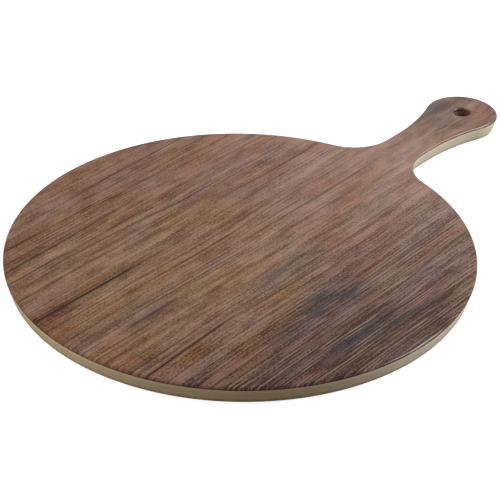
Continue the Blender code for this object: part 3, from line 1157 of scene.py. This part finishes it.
def melamine_material():
    """Plain pale melamine with a slow drift, painted shade along the foot in rubbed patches, a
    painted highlight under the lip and painted shade in the bore.
    """
    finish = settings().finish
    material, make, shader, vector = new_material("pale_melamine")
    place = make.parts(vector)
    foot = MOULDING_LOW.z * MILLIMETRES
    lip = SHEET_LOW.z * MILLIMETRES
    bore = settings().plan.hole_radius * MILLIMETRES
    rub = make.noise(vector, RUB_SCALE, detail=5.0, roughness=0.65)
    # Painted shade, darker towards the rim's foot and broken into rubbed patches
    low = make.remap(place["Z"], *(foot + height for height in FOOT_SHADE_HEIGHTS))
    foot_shade = make.times(low, make.remap(rub, *RUB_EDGES, *FOOT_SHADE_STRENGTHS))
    # Painted highlight just below the lip
    lip_highlight = make.remap(place["Z"], *(lip - depth for depth in LIP_HIGHLIGHT_DEPTHS), 0.0, LIP_HIGHLIGHT_STRENGTH)
    # Painted shade inside the hanging hole's bore
    bore_shade_edges = [bore + reach for reach in BORE_SHADE_REACHES]
    bore_shade_mask = make.remap(hole_distance(make, place), *bore_shade_edges, BORE_SHADE_STRENGTH, 0.0)
    tone = drifting_tone(make, vector, finish.melamine, finish.melamine_shade, MELAMINE_DRIFT)
    # Painted shade along the rim's foot
    tone = make.blend(foot_shade, tone, opaque(finish.melamine_foot_shade))
    # Painted highlight under the print
    tone = make.blend(lip_highlight, tone, opaque(finish.melamine_lip_highlight))
    # Painted shade in the bore
    tone = make.blend(bore_shade_mask, tone, opaque(finish.bore_shade))
    dress_shader(make, shader, vector, tone, finish.melamine_roughness, MELAMINE_SURFACE)
    shader.inputs["Specular IOR Level"].default_value = finish.melamine_gloss
    return material


def silicone_material():
    """Matte dark silicone with caught dust."""
    finish = settings().finish
    material, make, shader, vector = new_material("matte_silicone")
    tone = drifting_tone(make, vector, finish.silicone, finish.silicone_dust, SILICONE_DRIFT)
    dress_shader(make, shader, vector, tone, finish.silicone_roughness, SILICONE_SURFACE)
    shader.inputs["Specular IOR Level"].default_value = finish.silicone_gloss
    return material


# Stage

SENSOR_WIDTH = 36.0
NEAR_CLIP = 0.01
WHITE = (1.0, 1.0, 1.0, 1.0)

Lamp = namedtuple("Lamp", "name side away height width depth power tint glare")

# Softboxes, placed to the side of, behind and above the camera's target; low ones only fill
LAMPS = (
    Lamp("key_softbox", -0.25, 0.62, 1.60, 1.8, 1.4, 7.2, (1.0, 0.955, 0.91), True),
    Lamp("edge_softbox", 0.87, 0.20, 0.62, 1.1, 0.2, 8.6, (0.96, 0.97, 1.0), True),
    Lamp("right_softbox", 1.30, 0.18, 0.30, 0.6, 0.4, 9.7, (0.71, 0.83, 1.0), False),
    Lamp("near_softbox", 0.85, 0.12, 0.14, 0.60, 0.25, 4.2, (0.55, 0.75, 1.0), False),
    Lamp("left_softbox", -1.30, -0.15, 0.32, 1.5, 0.6, 14.4, (1.0, 0.95, 0.88), False),
    Lamp("handle_softbox", 0.20, 0.80, 0.34, 0.35, 0.25, 1.4, (1.0, 1.0, 1.0), True),
)


def view_axes(stage):
    """Camera's right, up and backward directions before it is rolled."""
    azimuth = stage.view_azimuth
    level = math.cos(stage.view_elevation)
    height = math.sin(stage.view_elevation)
    back = Vector((math.sin(azimuth) * level, -math.cos(azimuth) * level, height))
    right = Vector((math.cos(azimuth), math.sin(azimuth), 0.0))
    return right, back.cross(right), back


def camera_target(stage):
    """Point on the serving face that the camera looks at."""
    return Vector((stage.target_x, stage.target_y, SHEET_HIGH.z))


def add_camera(stage):
    """Camera at the photograph's viewing angle."""
    right, up, back = view_axes(stage)
    rolled_right = right * math.cos(stage.view_roll) + up * math.sin(stage.view_roll)
    rolled_up = up * math.cos(stage.view_roll) - right * math.sin(stage.view_roll)
    turn = Matrix((rolled_right, rolled_up, back)).transposed()
    place = camera_target(stage) + back * stage.view_distance
    data = bpy.data.cameras.new("photo_camera")
    data.lens = stage.focal_length
    data.sensor_width = SENSOR_WIDTH
    data.clip_start = NEAR_CLIP
    camera = new_object("photo_camera", data)
    camera.matrix_world = Matrix.Translation(place) @ turn.to_4x4()
    bpy.context.scene.camera = camera


def add_lamp(stage, lamp):
    """Softbox that points at the camera's target."""
    right, _up, back = view_axes(stage)
    away = -Vector((back.x, back.y, 0.0)).normalized()
    target = camera_target(stage)
    place = target + right * lamp.side + away * lamp.away + Vector((0.0, 0.0, lamp.height))
    data = bpy.data.lights.new(lamp.name, "AREA")
    data.shape = "RECTANGLE"
    data.size = lamp.width
    data.size_y = lamp.depth
    data.energy = lamp.power
    data.color = lamp.tint
    softbox = new_object(lamp.name, data)
    softbox.location = place
    softbox.visible_camera = False
    softbox.visible_glossy = lamp.glare
    softbox.rotation_mode = "QUATERNION"
    softbox.rotation_quaternion = (target - place).to_track_quat("-Z", "Y")


def seen_ray(make):
    """1 for rays that show the surroundings themselves, straight or through something clear."""
    path = make.add("ShaderNodeLightPath").outputs
    return make.math("MAXIMUM", path["Is Camera Ray"], path["Is Transmission Ray"])


def add_world(stage):
    """White surroundings that light the board evenly and dimly."""
    world = bpy.data.worlds.new("studio")
    world.use_nodes = True
    make = Nodes(world.node_tree)
    background = world.node_tree.nodes["Background"]
    background.inputs["Color"].default_value = WHITE
    strength = make.remap(seen_ray(make), 0.0, 1.0, stage.ambient, 1.0, smooth=False)
    make.feed(background.inputs["Strength"], strength)
    bpy.context.scene.world = world


def floor_material(stage):
    """Pale floor: white towards the camera with the board's shadow, dim towards the board."""
    material = bpy.data.materials.new("pale_floor")
    material.use_nodes = True
    make = Nodes(material.node_tree)
    make.tree.nodes.remove(make.tree.nodes["Principled BSDF"])
    seen = seen_ray(make)
    pale = make.blend(seen, opaque(stage.floor_bounce), opaque(stage.floor_tone))
    matte = make.out("ShaderNodeBsdfDiffuse", {"Color": pale})
    glow = make.out("ShaderNodeEmission", {"Strength": make.times(seen, stage.floor_glow)})
    both = make.out("ShaderNodeAddShader", {0: matte, 1: glow})
    behind = make.add("ShaderNodeNewGeometry").outputs["Backfacing"]
    clear = make.out("ShaderNodeBsdfTransparent")
    shown = make.out("ShaderNodeMixShader", {0: behind, 1: both, 2: clear})
    make.feed(make.tree.nodes["Material Output"].inputs["Surface"], shown)
    return material


def add_floor(stage):
    """Level floor under the board."""
    half = stage.floor_size / 2
    corners = [(-half, -half, 0), (half, -half, 0), (half, half, 0), (-half, half, 0)]
    mesh = bpy.data.meshes.new("pale_floor")
    mesh.from_pydata(corners, [], [(0, 1, 2, 3)])
    mesh.materials.append(floor_material(stage))
    floor = new_object("pale_floor", mesh)


# Operators


class BuildMoulding(bpy.types.Operator):
    """Build the melamine moulding with its rim, hanging hole and foot pockets"""

    bl_idname = "serving_board.moulding"
    bl_label = "Moulding"

    def execute(self, _context):
        """Make the piece and set it on the frame."""
        values = board_values(melamine_material(), rim_section(), hole_section())
        values.update(ring_values(pocket_section(), pocket_radius()))
        piece = grown_piece("moulding", board_tree("Board Moulding", True), values)
        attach(piece, "root")
        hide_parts("board_moulding")
        return {"FINISHED"}


class BuildPrintSheet(bpy.types.Operator):
    """Build the wood-print sheet that covers the top and folds over the edges"""

    bl_idname = "serving_board.print_sheet"
    bl_label = "Wood-Print Sheet"

    def execute(self, _context):
        """Make the piece and set it on the frame."""
        sections = (sheet_section(rim_wall), sheet_section(hole_wall))
        values = board_values(wood_print_material(), *sections)
        piece = grown_piece("print_sheet", board_tree("Print Sheet", False), values)
        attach(piece, "root")
        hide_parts("wood_print_sheet")
        return {"FINISHED"}


class BuildFeet(bpy.types.Operator):
    """Build the ring of non-slip feet"""

    bl_idname = "serving_board.feet"
    bl_label = "Non-Slip Feet"

    def execute(self, _context):
        """Make the pieces and set them on the frame."""
        values = ring_values(foot_section(), FOOT_RADIUS)
        values["Material"] = silicone_material()
        piece = grown_piece("nonslip_feet", feet_tree(), values)
        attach(piece, "root")
        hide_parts(*FOOT_NODES)
        return {"FINISHED"}


class BuildStage(bpy.types.Operator):
    """Build the camera, the soft lamps, the white surroundings and the floor"""

    bl_idname = "serving_board.stage"
    bl_label = "Stage"

    def execute(self, context):
        """Make the stage."""
        stage = settings().stage
        context.scene.view_settings.view_transform = "Standard"
        add_camera(stage)
        for lamp in LAMPS:
            add_lamp(stage, lamp)
        add_world(stage)
        add_floor(stage)
        return {"FINISHED"}


class ServingBoardPanel(bpy.types.Panel):
    """Serving board in the 3D view's sidebar"""

    bl_idname = "VIEW3D_PT_serving_board"
    bl_label = "Serving Board"
    bl_space_type = "VIEW_3D"
    bl_region_type = "UI"
    bl_category = "Serving Board"

    def draw(self, context):
        """List the operators, then the settings of each group."""
        layout = self.layout
        for operator in OPERATORS:
            layout.operator(operator.bl_idname)
        board = context.scene.serving_board
        for group in (board.plan, board.section, board.finish, board.stage):
            box = layout.box()
            for name in group.__annotations__:
                box.prop(group, name)


OPERATORS = (BuildMoulding, BuildPrintSheet, BuildFeet, BuildStage)
GROUPS = (BoardPlan, BoardSection, BoardFinish, BoardStage, BoardSettings)
CLASSES = (*GROUPS, *OPERATORS, ServingBoardPanel)


def register():
    """Add the classes and the scene's settings."""
    for listed in CLASSES:
        bpy.utils.register_class(listed)
    bpy.types.Scene.serving_board = bpy.props.PointerProperty(type=BoardSettings)


def unregister():
    """Take the classes and the scene's settings away."""
    del bpy.types.Scene.serving_board
    for listed in reversed(CLASSES):
        bpy.utils.unregister_class(listed)


def main():
    """Build the board and its stage."""
    register()
    bpy.ops.serving_board.moulding()
    bpy.ops.serving_board.print_sheet()
    bpy.ops.serving_board.feet()
    bpy.ops.serving_board.stage()


if __name__ == "__main__":
    main()
